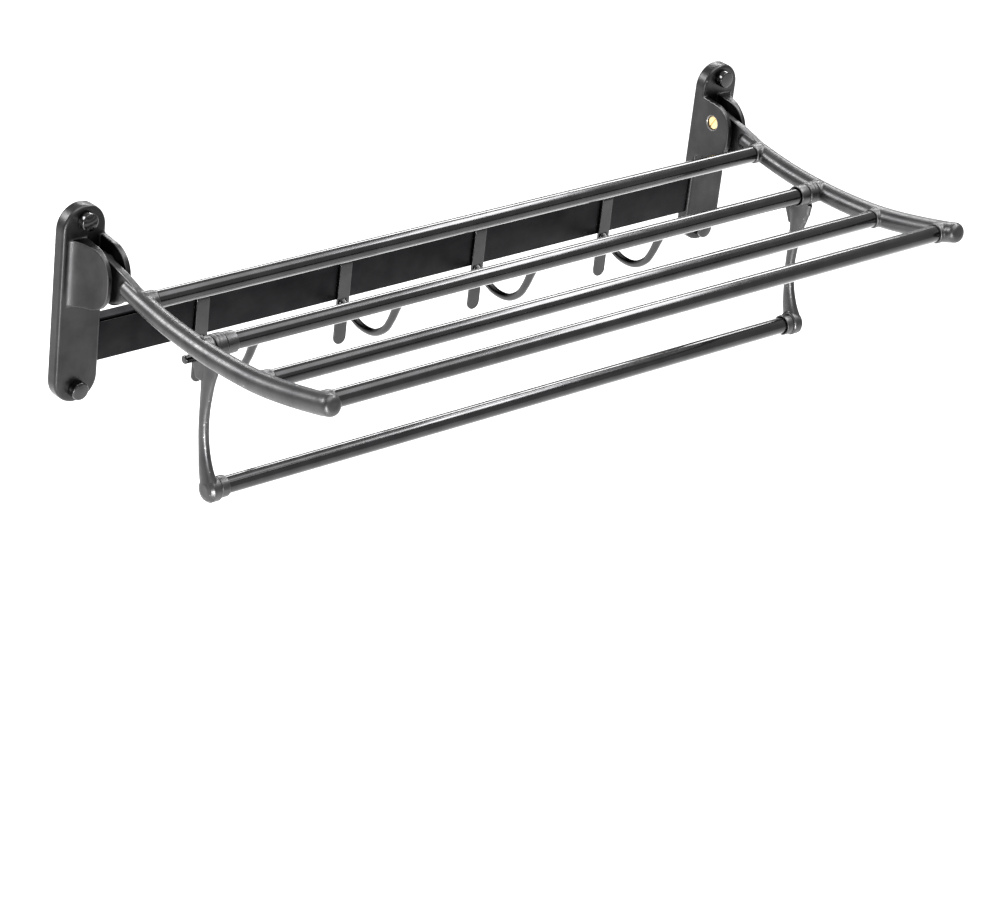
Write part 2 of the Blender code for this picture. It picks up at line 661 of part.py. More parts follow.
def make_rail(mat, mat_steel):
    """The rail between the brackets, screwed from below to the block on each of them."""
    rail = add_object("hook_rail", prism(rail_outline(), "X", -RAIL_END, RAIL_END), mat)
    hole_r = RAIL_SCREW_R + GAP
    low = RAIL_BOTTOM + GAP
    tip = THREAD_END - 2 * GAP
    hole = [(RAIL_BOTTOM - PAST, 0.0), (RAIL_BOTTOM - PAST, hole_r), (TENON_LOW + GAP, hole_r),
            (TENON_LOW + GAP, 0.0)]
    screw = [(low, 0.0), (low, RAIL_SCREW_R), (tip, RAIL_SCREW_R), (tip, 0.0)]
    for side, word in SIDES:
        place = (side * RAIL_SCREW[0], RAIL_SCREW[1], 0.0)
        cut(rail, add_object("rail_hole", turned(hole, place, (0.0, 0.0, 1.0), SMALL)))
        add_object(f"rail_screw_{word}", turned(screw, place, (0.0, 0.0, 1.0), SMALL), mat_steel)


def hook_strip_outline():
    """The hook's bent strip from the side, (Y, Z): down the rail's face, with a tab in the groove."""
    back = RAIL_FRONT - GAP
    front = back - STRIP_THICK
    tab_front = -0.0059
    tab_back = -0.0052
    return [
        (back, -0.0168), (tab_front, -0.0168), (tab_front, -0.0190), (tab_back, -0.0190),
        (tab_back, -0.0163), (-0.0060, -0.0154), (-0.0076, -0.0154), (-0.0086, -0.0166), (front, -0.0186),
        (front, HOOK_BOTTOM), (back, HOOK_BOTTOM),
    ]


def prong_path(x):
    """The prong's middle line: out of the strip, down round the bottom and up to its tip."""
    points = [(-0.0082, -0.0470), (-0.0180, -0.0520), (-0.0310, -0.0562), (-0.0440, -0.0550),
              (-0.0545, -0.0480), (-0.0600, -0.0390), (-0.0640, -0.0290), (-0.0668, -0.0220)]
    return smooth_path([(x, y, z) for y, z in points], 2)


def make_hook(name, x, mat):
    half = HOOK_WIDTH / 2
    hook = add_object(name, prism(hook_strip_outline(), "X", x - half, x + half), mat,
                      pivot=(x, RAIL_FRONT, RAIL_TOP))
    face = arc((x, HOOK_BOTTOM + half), half, 180, 360, 10) + [(x + half, 0.0), (x - half, 0.0)]
    boolean(hook, add_object(name + "_face", prism(face, "Y", -0.03, 0.01)), "INTERSECT")
    path = prong_path(x)
    last = len(path) - 1
    sizes = []
    for i in range(len(path)):
        root_swell = 0.0004 if i < 2 else 0.0
        tip_swell = 0.0005 * max(0.0, (i / last - 0.7) / 0.3)
        radius = HOOK_PRONG_R + root_swell + tip_swell
        sizes.append((radius, radius))
    join(hook, add_object(name + "_prong", swept(path, sizes, 10, False, True)))


# ---------------------------------------------------------------- the whole rack
def main():
    clear_scene()
    mats = make_materials()
    for side, word in SIDES:
        make_bracket(f"bracket_{word}", side, mats["black"])
        make_arm(f"arm_{word}", side, mats["black"])
        make_hanger(f"hanger_{word}", side, mats["black"])
        make_stop_pin(f"stop_pin_{word}", side, mats["gloss"])
    make_mount_screws(mats["steel"], mats["gloss"])
    make_pivots(mats["brass"], mats["nylon"])
    make_shelf_bars(mats["gloss"])
    make_collars(mats["black"], mats["steel"])
    make_lower_bar(mats["gloss"], mats["black"])
    make_rail(mats["dark"], mats["steel"])
    for index, x in enumerate(HOOK_XS):
        make_hook(f"hook_{index + 1}", x, mats["gloss"])


main()
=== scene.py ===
"""Looks of the wall mounted drying rack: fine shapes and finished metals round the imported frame.

Metres, +Z up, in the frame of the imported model. Every fine piece takes its place from the boxes of
the nodes it stands for, and rides on their body.
"""
import json
import math

import bmesh
import bpy
from mathutils import Matrix, Vector


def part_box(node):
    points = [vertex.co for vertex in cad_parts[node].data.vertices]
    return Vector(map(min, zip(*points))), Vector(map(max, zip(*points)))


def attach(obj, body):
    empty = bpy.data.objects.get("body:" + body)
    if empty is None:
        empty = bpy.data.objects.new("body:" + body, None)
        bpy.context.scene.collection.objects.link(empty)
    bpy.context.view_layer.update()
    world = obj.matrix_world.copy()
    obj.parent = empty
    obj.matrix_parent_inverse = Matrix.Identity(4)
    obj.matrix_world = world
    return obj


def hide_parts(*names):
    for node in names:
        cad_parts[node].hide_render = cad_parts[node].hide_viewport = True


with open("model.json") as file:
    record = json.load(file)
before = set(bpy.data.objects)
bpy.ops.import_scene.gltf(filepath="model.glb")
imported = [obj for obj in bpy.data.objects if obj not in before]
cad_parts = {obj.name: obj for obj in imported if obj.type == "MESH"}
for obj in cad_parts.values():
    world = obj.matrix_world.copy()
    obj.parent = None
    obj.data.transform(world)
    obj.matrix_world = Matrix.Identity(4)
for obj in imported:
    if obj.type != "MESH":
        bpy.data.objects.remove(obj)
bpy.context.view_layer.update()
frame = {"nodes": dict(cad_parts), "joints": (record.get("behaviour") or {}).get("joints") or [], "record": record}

# ---------------------------------------------------------------- view, light and stage
VIEW_TARGET = Vector((-0.0106, -0.12, -0.1292))
VIEW_AZIMUTH = math.radians(-43.7062)
VIEW_ELEVATION = math.radians(26.8329)
VIEW_ROLL = math.radians(6.7158)
VIEW_DISTANCE = 2.4564
LENS = 131.06
FLOOR_Z = -0.75
FLOOR_HALF = 6.0
WORLD_STRENGTH = 0.65
LIGHT_AIM = (0.0, -0.12, 0.0)
SOFTBOXES = (
    ("back_right_softbox", (1.35, 1.30, 1.15), (1.5, 0.40), 28.0),
    ("top_right_softbox", (1.25, -0.25, 1.55), (1.3, 0.30), 22.0),
    ("back_left_softbox", (-1.45, 1.20, 1.05), (0.9, 0.7), 34.0),
    ("front_left_softbox", (-1.45, -1.45, -0.30), (0.35, 0.7), 34.0),
)

# ---------------------------------------------------------------- shapes
SIDES = (("left", -1), ("right", 1))
GAP = 0.0003
PAST = 0.004                # how far a cutting solid runs past what it cuts
ROUND = 64                  # sides of a turned piece
SOFT_EDGE = 0.0004          # rounding of a machined edge
CASTING_VOXEL = 0.0005
HANGER_VOXEL = 0.0003
HOOK_VOXEL = 0.00035

PLATE_RIM = 0.0022
SLOT_HALF = 0.0054          # half the width of the slot between a bracket's ears
EAR_FRONT = -0.0392
EAR_LOW = 0.0010
EAR_TOP = 0.0478
EAR_CORNER = 0.0185
EAR_THICK = 0.0034
EAR_DROOP = 0.0012          # the ears' front corners start this far below their top
EAR_RISE = 0.0020           # and end this far above their foot
PIVOT_R = 0.0030
PIVOT_HEAD_THICK = 0.0016
PIVOT_SEAT_EASE = 0.0005    # rounding of the bracket round the sunk pivot screw
PIVOT_SLOT = (0.0014, 0.0012, 0.0200)  # size of the box that cuts the screwdriver slot
PIVOT_SLOT_ANGLE = math.radians(32)
MOUNT_HOLE_R = 0.0024
MOUNT_SEAT_R = 0.0047
MOUNT_SEAT_DEPTH = 0.0042
CAP_CROWN = 0.0008          # rise of a screw cap's face
CAP_SHOULDER = 0.0012       # how far the crowning reaches in from its edge

TENON_HEIGHTS = (-0.0422, -0.0222)     # block on each bracket that fills the rail's end
TENON_DEPTHS = (-0.0049, -0.0009)
TENON_LENGTH = 0.0100
THREAD_END = -0.0360

BAR_WALL = 0.0010
TANG_HALF = 0.0026          # half the thickness of an arm's flat root
ARM_ROOT = Vector((-0.0500, 0.0262))
ARM_END = Vector((-0.2528, 0.0342))
ARM_BETWEEN = [Vector((-0.0950, 0.0192)), Vector((-0.1570, 0.0178)), Vector((-0.2160, 0.0252))]
ARM_END_POWER = 3.2         # how blunt the arm's end is
ARM_R_ROOT = 0.0064
ARM_R_TIP = 0.0074
BOSS_R = [0.0070, 0.0076, 0.0070, 0.0072]
BOSS_EDGE = 0.0012          # length of a boss's rounded front
BOSS_SINK = 0.0010          # a boss ends this far short of the arm's middle plane
TANG_HEAD_R = 0.0086

BLADE_HALF = 0.0033         # half a hanger's thickness
BLADE_SWELL = 0.0014        # the blade thickens by this much where it meets the lower bar's boss
SWELL_FROM = -0.0500        # height where the blade starts to thicken
SWELL_HEIGHT = 0.0310       # and how far below that it is at its thickest
HUB_R = 0.0079
HUB_GROOVES = (0.0030, 0.0058)
GROOVE = 0.0006
LOWER_BOSS_R = 0.0086
LOWER_BOSS_LENGTH = 0.0098
LUG_R = 0.0038
SOCKET_END = 0.2649
STOP_PIN_STEM_R = 0.0016

STRIP_THICK = 0.0018
PRONG_R = 0.0028
PRONG_ROOT_SWELL = 0.0004
PRONG_TIP_SWELL = 0.0005
RAIL_WALL = 0.0018

joints = {joint["name"]: joint for joint in frame["joints"]}
fold_axis = joints["shelf_fold"]["pos_m"]
PIVOT = Vector((fold_axis[1], fold_axis[2]))


def middle(node):
    low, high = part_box(node)
    return (low + high) / 2


def extent(node):
    low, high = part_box(node)
    return high - low


def body_of(node):
    for body, members in frame["record"]["behaviour"]["bodies"].items():
        if node in members:
            return body
    raise ValueError(node)


def slot_of(node):
    for part in frame["record"]["subparts"]:
        if part["node"] == node:
            return part["material_slot"]
    raise ValueError(node)


bar_axes = [Vector(middle(f"shelf_bar_{i}")[1:]) for i in (1, 2, 3, 4)]
bar_ends = [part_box(f"shelf_bar_{i}")[1].x for i in (1, 2, 3, 4)]
BAR_R = extent("shelf_bar_1").z / 2
lower_axis = Vector(middle("towel_bar")[1:])
ARM_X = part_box("arm_right")[1].x - ARM_R_TIP


# ---------------------------------------------------------------- mesh helpers
def new_object(name, bm, smooth_angle=35):
    bmesh.ops.recalc_face_normals(bm, faces=bm.faces)
    mesh = bpy.data.meshes.new(name)
    bm.to_mesh(mesh)
    bm.free()
    obj = bpy.data.objects.new(name, mesh)
    bpy.context.scene.collection.objects.link(obj)
    mesh.shade_smooth()
    mesh.set_sharp_from_angle(angle=math.radians(smooth_angle))
    return obj


def eased(points, radius, closed, steps=4):
    """The same outline with each corner rounded, by at most the radius given."""
    count = len(points)
    result = []
    for i, point in enumerate(points):
        if not closed and i in (0, count - 1):
            result.append(tuple(point))
            continue
        corner = Vector(point)
        before = Vector(points[i - 1]) - corner
        after = Vector(points[(i + 1) % count]) - corner
        reach = min(radius, before.length * 0.45, after.length * 0.45)
        start = corner + before.normalized() * reach
        end = corner + after.normalized() * reach
        for k in range(steps + 1):
            t = k / steps
            result.append(tuple(start * (1 - t) ** 2 + corner * 2 * t * (1 - t) + end * t ** 2))
    return result


def turned(profile, origin, axis, sides=ROUND):
    """A solid or ring turned round an axis from (along, radius) points."""
    axis = Vector(axis).normalized()
    across = axis.orthogonal().normalized()
    other = axis.cross(across)
    origin = Vector(origin)
    bm = bmesh.new()
    rings = []
    for along, radius in profile:
        centre = origin + axis * along
        if radius < 1e-7:
            rings.append([bm.verts.new(centre)])
            continue
        ring = []
        for k in range(sides):
            angle = math.tau * k / sides
            outward = across * math.cos(angle) + other * math.sin(angle)
            ring.append(bm.verts.new(centre + outward * radius))
        rings.append(ring)
    pairs = list(zip(rings, rings[1:]))
    if len(rings[0]) > 1:
        pairs.append((rings[-1], rings[0]))
    for a, b in pairs:
        for k in range(sides):
            n = (k + 1) % sides
            if len(a) == 1 and len(b) > 1:
                bm.faces.new((a[0], b[k], b[n]))
            elif len(b) == 1 and len(a) > 1:
                bm.faces.new((a[k], a[n], b[0]))
            elif len(a) > 1:
                bm.faces.new((a[k], a[n], b[n], b[k]))
    return bm


def prism(outline, axis, low, high):
    """An outline pushed along X, Y or Z from low to high."""
    place = {
        "X": lambda a, b, c: (c, a, b),
        "Y": lambda a, b, c: (a, c, b),
        "Z": lambda a, b, c: (a, b, c),
    }[axis]
    bm = bmesh.new()
    near = [bm.verts.new(place(a, b, low)) for a, b in outline]
    far = [bm.verts.new(place(a, b, high)) for a, b in outline]
    bm.faces.new(near)
    bm.faces.new(far[::-1])
    count = len(outline)
    for i in range(count):
        n = (i + 1) % count
        bm.faces.new((near[i], near[n], far[n], far[i]))
    return bm


def arc(centre, radius, start, end, steps):
    points = []
    for i in range(steps + 1):
        angle = math.radians(start + (end - start) * i / steps)
        points.append((centre[0] + radius * math.cos(angle), centre[1] + radius * math.sin(angle)))
    return points


def curve_through(points, steps):
    """Points on a smooth curve through the ones given."""
    points = [Vector(p) for p in points]
    padded = [points[0] * 2 - points[1]] + points + [points[-1] * 2 - points[-2]]
    result = []
    for i in range(1, len(padded) - 2):
        p0, p1, p2, p3 = padded[i - 1:i + 3]
        for k in range(steps):
            t = k / steps
            result.append((p1 * 2 + (p2 - p0) * t + (p0 * 2 - p1 * 5 + p2 * 4 - p3) * t ** 2
                           + (p1 * 3 - p0 - p2 * 3 + p3) * t ** 3) / 2)
    result.append(points[-1])
    return result


def swept(path, x, sizes, sides, dome_start=False, dome_end=False, end_power=2.0):
    """An ellipse swept along (Y, Z) points in the plane at x; sizes are its half widths."""
    count = len(path)
    rings = []
    for i, point in enumerate(path):
        ahead = (path[min(i + 1, count - 1)] - path[max(i - 1, 0)]).normalized()
        rings.append((point, ahead, sizes[i]))
    dome_steps = 8
    domes = []
    for ring, towards, power in ((rings[0], -1, 2.0), (rings[-1], 1, end_power)):
        point, ahead, size = ring
        dome = []
        for k in range(1, dome_steps):
            angle = math.pi / 2 * k / dome_steps
            reach = size[1] * math.cos(angle) ** (2 / power)
            factor = math.sin(angle) ** (2 / power)
            dome.append((point + ahead * reach * towards, ahead, (size[0] * factor, size[1] * factor)))
        domes.append(dome)
    if dome_start:
        rings = domes[0] + rings
    if dome_end:
        rings = rings + domes[1][::-1]
    bm = bmesh.new()
    made = []
    for point, ahead, size in rings:
        across = Vector((-ahead.y, ahead.x))
        ring = []
        for k in range(sides):
            angle = math.tau * k / sides
            place = point + across * math.sin(angle) * size[1]
            ring.append(bm.verts.new((x + math.cos(angle) * size[0], place.x, place.y)))
        made.append(ring)
    for a, b in zip(made, made[1:]):
        for k in range(sides):
            n = (k + 1) % sides
            bm.faces.new((a[k], a[n], b[n], b[k]))
    bm.faces.new(made[0][::-1])
    bm.faces.new(made[-1])
    return bm


def settle(obj):
    """Turns an object's modifiers into its own mesh."""
    shaped = obj.evaluated_get(bpy.context.evaluated_depsgraph_get())
    mesh = bpy.data.meshes.new_from_object(shaped)
    old = obj.data
    obj.modifiers.clear()
    obj.data = mesh
    bpy.data.meshes.remove(old)


def boolean(obj, bm, operation):
    tool = new_object("tool", bm)
    step = obj.modifiers.new("step", "BOOLEAN")
    step.operation = operation
    step.solver = "EXACT"
    step.object = tool
    settle(obj)
    bpy.data.objects.remove(tool)


def cast(name, solids, voxel, passes):
    """One casting out of overlapping objects, with soft edges and soft inner corners."""
    whole = bmesh.new()
    for solid in solids:
        whole.from_mesh(solid.data)
        bpy.data.objects.remove(solid)
    obj = new_object(name, whole, 180)
    remesh = obj.modifiers.new("remesh", "REMESH")
    remesh.mode = "VOXEL"
    remesh.voxel_size = voxel
    soften = obj.modifiers.new("soften", "SMOOTH")
    soften.factor = 0.5
    soften.iterations = passes
    settle(obj)
    obj.data.shade_smooth()
    return obj


def stand_for(obj, node, mat):
    obj.name = f"{node}_shape"
    obj.data.materials.clear()
    obj.data.materials.append(mat)
    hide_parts(node)
    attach(obj, body_of(node))


# ---------------------------------------------------------------- finishes
def new_material(name, colour, roughness, metallic, coat=0.0):
    mat = bpy.data.materials.new(name)
    mat.use_nodes = True
    shader = mat.node_tree.nodes["Principled BSDF"]
    shader.inputs["Base Color"].default_value = (*colour, 1.0)
    shader.inputs["Roughness"].default_value = roughness
    shader.inputs["Metallic"].default_value = metallic
    shader.inputs["Coat Weight"].default_value = coat
    shader.inputs["Coat Roughness"].default_value = 0.08
    return mat


def noise(mat, scale, stretch, detail=4.0):
    """A noise in the object's own coordinates, stretched along each axis as told."""
    nodes = mat.node_tree.nodes
    links = mat.node_tree.links
    place = nodes.new("ShaderNodeTexCoord")
    mapping = nodes.new("ShaderNodeMapping")
    mapping.inputs["Scale"].default_value = stretch
    texture = nodes.new("ShaderNodeTexNoise")
    texture.inputs["Scale"].default_value = scale
    texture.inputs["Detail"].default_value = detail
    links.new(place.outputs["Object"], mapping.inputs["Vector"])
    links.new(mapping.outputs["Vector"], texture.inputs["Vector"])
    return texture.outputs["Fac"]


def spread(mat, value, low, high, from_low=0.3, from_high=0.7):
    nodes = mat.node_tree.nodes
    ranged = nodes.new("ShaderNodeMapRange")
    ranged.inputs["From Min"].default_value = from_low
    ranged.inputs["From Max"].default_value = from_high
    ranged.inputs["To Min"].default_value = low
    ranged.inputs["To Max"].default_value = high
    mat.node_tree.links.new(value, ranged.inputs["Value"])
    return ranged.outputs["Result"]


def tint(mat, value, dark, light):
    nodes = mat.node_tree.nodes
    ramp = nodes.new("ShaderNodeValToRGB")
    ramp.color_ramp.elements[0].color = (*dark, 1.0)
    ramp.color_ramp.elements[1].color = (*light, 1.0)
    ramp.color_ramp.elements[0].position = 0.3
    ramp.color_ramp.elements[1].position = 0.7
    mat.node_tree.links.new(value, ramp.inputs["Fac"])
    return ramp.outputs["Color"]


def wear_and_highlight_edges(mat, colour, wear_and_highlight):
    """Blends in a paler colour where the shape is sharply convex: partly edge wear, partly painted highlight along
    the edges.
    """
    nodes = mat.node_tree.nodes
    links = mat.node_tree.links
    geometry = nodes.new("ShaderNodeNewGeometry")
    amount = spread(mat, geometry.outputs["Pointiness"], 0.0, 0.7, 0.52, 0.60)
    mix = nodes.new("ShaderNodeMix")
    mix.data_type = "RGBA"
    mix.inputs["B"].default_value = (*wear_and_highlight, 1.0)
    links.new(amount, mix.inputs["Factor"])
    links.new(colour, mix.inputs["A"])
    return mix.outputs["Result"]


def relief(mat, value, strength, distance):
    bump = mat.node_tree.nodes.new("ShaderNodeBump")
    bump.inputs["Strength"].default_value = strength
    bump.inputs["Distance"].default_value = distance
    mat.node_tree.links.new(value, bump.inputs["Height"])
    return bump.outputs["Normal"]


def finish_metal(name, dark, light, rough, grain, metallic=1.0, coat=0.0, wear_and_highlight=None, strength=0.12):
    """A metal with brushed grain, patchy gloss, a slight change of colour and paler edges that are partly wear and
    partly painted highlight.
    """
    mat = new_material(name, dark, rough[0], metallic, coat)
    shader = mat.node_tree.nodes["Principled BSDF"]
    links = mat.node_tree.links
    patches = noise(mat, 60.0, (1.0, 1.0, 1.0))
    streaks = noise(mat, 900.0, grain, 6.0)
    colour = tint(mat, patches, dark, light)
    # paler convex edges: partly wear, partly painted highlight
    if wear_and_highlight:
        colour = wear_and_highlight_edges(mat, colour, wear_and_highlight)
    links.new(colour, shader.inputs["Base Color"])
    links.new(spread(mat, streaks, *rough), shader.inputs["Roughness"])
    links.new(relief(mat, streaks, strength, 0.00004), shader.inputs["Normal"])
    return mat


# the pale edge colours given below are partly wear and partly painted highlight
satin = finish_metal("satin_black_metal", (0.060, 0.060, 0.062), (0.088, 0.087, 0.088), (0.30, 0.44),
                     (0.08, 1.0, 0.08), wear_and_highlight=(0.34, 0.33, 0.325), strength=0.3)
plate_satin = finish_metal("plate_satin_metal", (0.036, 0.036, 0.037), (0.055, 0.054, 0.055), (0.28, 0.40),
                           (1.0, 1.0, 0.06), wear_and_highlight=(0.34, 0.33, 0.325))
gloss = finish_metal("gloss_black_metal", (0.036, 0.036, 0.037), (0.052, 0.051, 0.053), (0.14, 0.22),
                     (0.04, 1.0, 1.0), coat=0.3, strength=0.05)
rail_black = finish_metal("rail_black_metal", (0.009, 0.009, 0.010), (0.016, 0.016, 0.017), (0.30, 0.42),
                          (0.02, 1.0, 1.0), strength=0.08)
brass = finish_metal("turned_brass", (0.74, 0.54, 0.25), (0.86, 0.66, 0.34), (0.16, 0.32),
                     (0.1, 1.0, 1.0), wear_and_highlight=(0.95, 0.80, 0.50))
steel = finish_metal("zinc_steel", (0.42, 0.42, 0.43), (0.52, 0.52, 0.52), (0.25, 0.40), (1.0, 1.0, 1.0))
nylon = finish_metal("black_nylon", (0.018, 0.018, 0.018), (0.028, 0.028, 0.028), (0.50, 0.62),
                     (1.0, 1.0, 1.0), metallic=0.0)
FINISHES = {"satin_black": satin, "gloss_black": gloss, "rail_black": rail_black, "brass": brass,
            "plain_steel": steel, "black_nylon": nylon}


# ---------------------------------------------------------------- brackets and their screws
def plate_solid(side):
    """The plate, its front rim rounded over, as stacked long-round outlines."""
    node = f"bracket_{'left' if side < 0 else 'right'}"
    low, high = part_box(node)
    outer = high.x if side > 0 else -low.x
    thick = -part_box("screw_cap_left_lower")[1].y - GAP
    cap = middle("screw_cap_right_lower")
    centre = abs(cap.x)
    radius = outer - centre
    straight = high.z - radius
    levels = [(-SOFT_EDGE, 0.0), (0.0, -SOFT_EDGE)]
    rim_steps = 10
    for k in range(rim_steps + 1):
        angle = math.pi / 2 * k / rim_steps
        levels.append((-PLATE_RIM * (1 - math.cos(angle)), -thick + PLATE_RIM * (1 - math.sin(angle))))
    bm = bmesh.new()
    rings = []
    for inset, y in levels:
        outline = arc((0.0, straight), radius + inset, 0, 180, 40)
        outline += arc((0.0, -straight), radius + inset, 180, 360, 40)
        rings.append([bm.verts.new((side * centre + a, y, b)) for a, b in outline])
    for near, far in zip(rings, rings[1:]):
        for k in range(len(near)):
            n = (k + 1) % len(near)
            bm.faces.new((near[k], near[n], far[n], far[k]))
    bm.faces.new(rings[0])
    bm.faces.new(rings[-1][::-1])
    return bm, centre, thick


def ear_outline(thick):
    """The ears from the side, (Y, Z)."""
    top = (EAR_FRONT + EAR_CORNER, EAR_TOP - EAR_DROOP - EAR_CORNER)
    low = (EAR_FRONT + EAR_CORNER, EAR_LOW + EAR_RISE + EAR_CORNER)
    back = -thick / 2
    return [(back, EAR_LOW), (back, EAR_TOP), (-thick, EAR_TOP)] + arc(top, EAR_CORNER, 90, 180, 24) + arc(
        low, EAR_CORNER, 180, 270, 24)


def ear_plan(side, centre, inner, thick):
    """The ears from above: the outer one curves out into the plate."""
    tip_x = ARM_X + SLOT_HALF + EAR_THICK
    root_x = centre + (centre - inner) - PLATE_RIM * 0.6
    tip_y = EAR_FRONT + 0.0010
    root_y = -thick + 0.0008
    sweep = []
    steps = 36
    for i in range(steps + 1):
        angle = math.pi / 2 * i / steps
        sweep.append((side * (root_x - (root_x - tip_x) * math.sin(angle)),
                      tip_y + (root_y - tip_y) * math.cos(angle)))
    front = EAR_FRONT - PAST
    back = -thick / 2
    return [(side * inner, front), (side * inner, back), (side * root_x, back)] + sweep + [
        (side * tip_x, front)]


def span(side, near, far):
    """A stretch along X given by its distances from the middle, in rising order."""
    return sorted((side * near, side * far))


def rectangle(low, high):
    return [(low[0], low[1]), (high[0], low[1]), (high[0], high[1]), (low[0], high[1])]


def fine_bracket(word, side):
    node = f"bracket_{word}"
    plate, centre, thick = plate_solid(side)
    inner = centre - (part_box("bracket_right")[1].x - centre)
    ears = new_object("ears", prism(ear_outline(thick), "X", *span(side, inner, centre + 0.02)))
    plan = ear_plan(side, centre, inner, thick)
    boolean(ears, prism(plan, "Z", EAR_LOW - PAST, EAR_TOP + PAST), "INTERSECT")
    slot = rectangle((EAR_FRONT - PAST, EAR_LOW - PAST), (-thick, EAR_TOP + PAST))
    boolean(ears, prism(slot, "X", *span(side, ARM_X - SLOT_HALF, ARM_X + SLOT_HALF)), "DIFFERENCE")
    block = rectangle((TENON_DEPTHS[0], TENON_HEIGHTS[0]), (TENON_DEPTHS[1], TENON_HEIGHTS[1]))
    tenon = prism(block, "X", *span(side, inner - TENON_LENGTH, inner + PAST))
    solids = [new_object("plate", plate), ears, new_object("tenon", tenon)]
    bracket = cast(node, solids, CASTING_VOXEL, 4)
    screw = middle(f"rail_screw_{word}")
    thread_r = extent(f"rail_screw_{word}").x / 2 + GAP
    thread = [(TENON_HEIGHTS[0] - PAST, 0.0), (TENON_HEIGHTS[0] - PAST, thread_r), (THREAD_END, thread_r),
              (THREAD_END, 0.0)]
    boolean(bracket, turned(thread, (screw.x, screw.y, 0.0), (0, 0, 1)), "DIFFERENCE")
    for level in ("lower", "upper"):
        place = middle(f"screw_cap_{word}_{level}")
        seat = thick - MOUNT_SEAT_DEPTH
        hole = [(-PAST, 0.0), (-PAST, MOUNT_HOLE_R), (seat, MOUNT_HOLE_R), (seat, MOUNT_SEAT_R),
                (thick + PAST, MOUNT_SEAT_R), (thick + PAST, 0.0)]
        boolean(bracket, turned(hole, (place.x, 0.0, place.z), (0, -1, 0)), "DIFFERENCE")
    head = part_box(f"pivot_screw_{word}")
    head_r = extent(f"pivot_screw_{word}").z / 2 + GAP
    screw_end = max(abs(head[0].x), abs(head[1].x))
    seat = min(abs(head[0].x), abs(head[1].x)) + PIVOT_HEAD_THICK + GAP
    bore_r = PIVOT_R + GAP
    ease = PIVOT_SEAT_EASE
    blind_end = screw_end + GAP
    bore = [(inner - PAST, 0.0), (inner - PAST, head_r + ease), (inner, head_r + ease),
            (inner + ease, head_r), (seat, head_r), (seat, bore_r), (blind_end, bore_r), (blind_end, 0.0)]
    boolean(bracket, turned(bore, (0.0, *PIVOT), (side, 0, 0)), "DIFFERENCE")
    bracket.data.shade_smooth()
    bracket.data.set_sharp_from_angle(angle=math.radians(40))
    stand_for(bracket, node, plate_satin)


def fine_cap(node):
    """A screw cap: a low turned button with a crowned face."""
    low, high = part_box(node)
    centre = middle(node)
    radius = extent(node).x / 2
    height = high.y - low.y
    wall = height - CAP_CROWN * 1.6
    profile = [(0.0, 0.0), (0.0, radius - SOFT_EDGE), (SOFT_EDGE, radius), (wall, radius)]
    steps = 8
    for k in range(1, steps + 1):
        angle = math.pi / 2 * k / steps
        profile.append((wall + CAP_CROWN * math.sin(angle), radius - CAP_SHOULDER * (1 - math.cos(angle))))
    profile += [(height, radius * 0.45), (height, 0.0)]
    cap = new_object(node + "_new", turned(profile, (centre.x, high.y, centre.z), (0, -1, 0)))
    stand_for(cap, node, gloss)


def fine_pivot(word, side):
    node = f"pivot_screw_{word}"
    low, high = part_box(node)
    head = min(abs(low.x), abs(high.x))
    tip = max(abs(low.x), abs(high.x))
    radius = extent(node).z / 2
    neck = head + PIVOT_HEAD_THICK
    corners = [(head, 0.0), (head, radius), (neck, radius), (neck, PIVOT_R), (tip, PIVOT_R), (tip, 0.0)]
    profile = eased(corners, 0.0003, False)
    screw = new_object(node + "_new", turned(profile, (0.0, *PIVOT), (side, 0, 0)))
    slot = bmesh.new()
    bmesh.ops.create_cube(slot, size=1.0, matrix=Matrix.Diagonal((*PIVOT_SLOT, 1.0)))
    bmesh.ops.rotate(slot, verts=slot.verts, matrix=Matrix.Rotation(PIVOT_SLOT_ANGLE, 3, "X"))
    bmesh.ops.translate(slot, verts=slot.verts, vec=(side * head, *PIVOT))
    boolean(screw, slot, "DIFFERENCE")
    screw.data.shade_smooth()
    screw.data.set_sharp_from_angle(angle=math.radians(35))
    stand_for(screw, node, brass)


# ---------------------------------------------------------------- shelf
def fine_ring(node, bore, mat):
    """A ring or tube along X, its ends eased."""
    low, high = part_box(node)
    centre = middle(node)
    radius = extent(node).z / 2
    ring = eased([(low.x, bore), (low.x, radius), (high.x, radius), (high.x, bore)], SOFT_EDGE, True)
    obj = new_object(node + "_new", turned(ring, (0.0, centre.y, centre.z), (1, 0, 0)))
    stand_for(obj, node, mat)


def arm_line(steps):
    points = [ARM_ROOT, bar_axes[0], ARM_BETWEEN[0], bar_axes[1], ARM_BETWEEN[1], bar_axes[2],
              ARM_BETWEEN[2], bar_axes[3], ARM_END]
    return curve_through(points, steps)


def tang_outline():
    """The flat root of an arm from the side, (Y, Z)."""
    y, z = PIVOT
    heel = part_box("arm_left")[1].y
    outline = [(heel, 0.0125), (heel, z + 0.0008)]
    outline += arc((y + 0.0026, z), TANG_HEAD_R, 10, 90, 16)
    outline += [(-0.0300, 0.0384), (-0.0450, 0.0356), (-0.0550, 0.0328), (-0.0640, 0.0298), (-0.0700, 0.0240)]
    outline += [(-0.0560, 0.0205), (-0.0480, 0.0170), (-0.0400, 0.0125), (-0.0320, 0.0098)]
    outline += [(heel - 0.0026, 0.0098)]
    return outline


